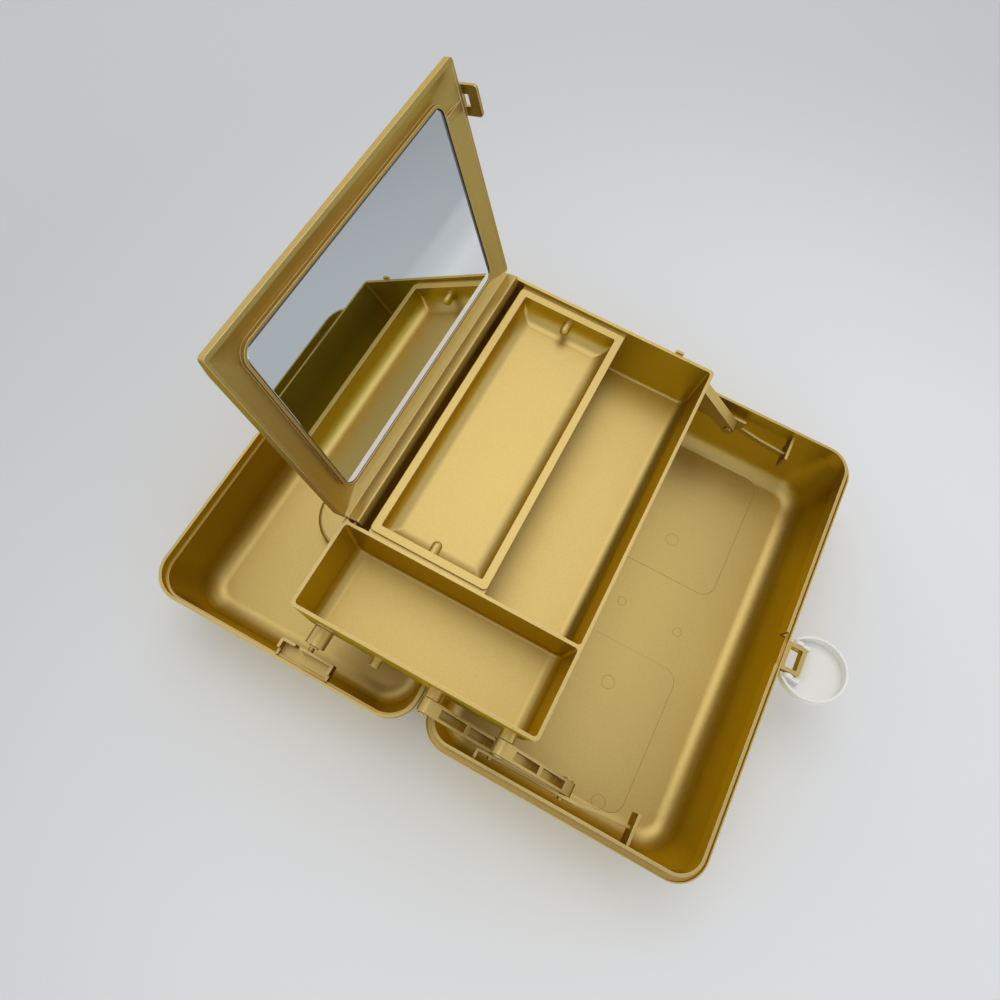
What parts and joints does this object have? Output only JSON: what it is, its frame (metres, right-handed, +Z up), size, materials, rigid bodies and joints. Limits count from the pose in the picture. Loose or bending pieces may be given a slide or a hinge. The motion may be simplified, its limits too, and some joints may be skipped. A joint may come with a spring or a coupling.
{
  "type": "cosmetic case",
  "caption": "Hinged vanity box that opens flat, with a divided tray lifted on swinging arms, a framed mirror as the tray's lid and a lift-out tray inside",
  "frame": {"origin": "centre of the base's flat bottom face", "axes": "+Z up, +X from the case hinge to the latch, Y along the case hinge"},
  "size_m": [0.4136, 0.3, 0.245],
  "materials": {
    "gold_plastic": "satin metallic gold moulding",
    "white_plastic": "glossy white moulding",
    "mirror_glass": "silvered glass",
    "foam_pad": "adhesive foam",
    "steel_pin": "plain steel"
  },
  "bodies": {
    "base": {"base_shell": "gold_plastic", "latch_hinge_tab": "gold_plastic", "hinge_pins": "steel_pin", "arm_base_pins": "gold_plastic", "base_bracket_near": "gold_plastic", "base_bracket_far": "gold_plastic"},
    "lid": {"lid_shell": "gold_plastic", "lid_bracket_near": "gold_plastic", "lid_bracket_far": "gold_plastic", "handle_pins": "steel_pin"},
    "rear_arms": {"rear_arm_near": "gold_plastic", "rear_arm_far": "gold_plastic"},
    "front_arms": {"front_arm_near": "gold_plastic", "front_arm_far": "gold_plastic"},
    "tray": {"tray": "gold_plastic", "arm_tray_pins": "gold_plastic", "link_pins": "gold_plastic", "sub_tray": "gold_plastic", "mirror_hinge_pins": "steel_pin"},
    "lid_links": {"lid_link_near": "gold_plastic", "lid_link_far": "gold_plastic"},
    "mirror_lid": {"mirror_frame": "gold_plastic", "mirror_glass": "mirror_glass", "mirror_pad": "foam_pad"},
    "latch": {"latch_cap": "white_plastic"},
    "handle": {"carry_handle": "white_plastic"}
  },
  "joints": [
    {"name": "lid_hinge", "type": "hinge", "parent": "base", "child": "lid", "pos_m": [-0.09273, 0, 0.06], "axis": [0, 1, 0], "range_deg": [0, 180]},
    {"name": "rear_arm_swing", "type": "hinge", "parent": "base", "child": "rear_arms", "pos_m": [-0.04393, 0, 0.05513], "axis": [0, 1, 0], "range_deg": [0, 128]},
    {"name": "front_arm_swing", "type": "hinge", "parent": "base", "child": "front_arms", "pos_m": [0.00157, 0, 0.05513], "axis": [0, 1, 0], "range_deg": [0, 128]},
    {"name": "tray_level", "type": "hinge", "parent": "rear_arms", "child": "tray", "pos_m": [-0.08822, 0, 0.091], "axis": [0, -1, 0], "range_deg": [0, 128]},
    {"name": "lid_link_swing", "type": "hinge", "parent": "tray", "child": "lid_links", "pos_m": [-0.15862, 0, 0.09], "axis": [0, 1, 0], "range_deg": [0, 250.7]},
    {"name": "mirror_lid_swing", "type": "hinge", "parent": "tray", "child": "mirror_lid", "pos_m": [-0.17072, 0, 0.1125], "axis": [0, 1, 0], "range_deg": [0, 108.2]},
    {"name": "latch_swing", "type": "hinge", "parent": "base", "child": "latch", "pos_m": [0.09677, 0, 0.0545], "axis": [0, -1, 0], "range_deg": [0, 78]},
    {"name": "handle_swing", "type": "hinge", "parent": "lid", "child": "handle", "pos_m": [-0.21775, 0, 0.0036], "axis": [0, 1, 0], "range_deg": [0, 90]}
  ],
  "couplings": [
    {"joint": "rear_arm_swing", "follows": "lid_hinge", "ratio": 0.71111},
    {"joint": "front_arm_swing", "follows": "lid_hinge", "ratio": 0.71111},
    {"joint": "tray_level", "follows": "lid_hinge", "ratio": 0.71111},
    {"joint": "lid_link_swing", "follows": "lid_hinge", "ratio": 1.3926},
    {"joint": "mirror_lid_swing", "follows": "lid_hinge", "ratio": 0.60111}
  ]
}
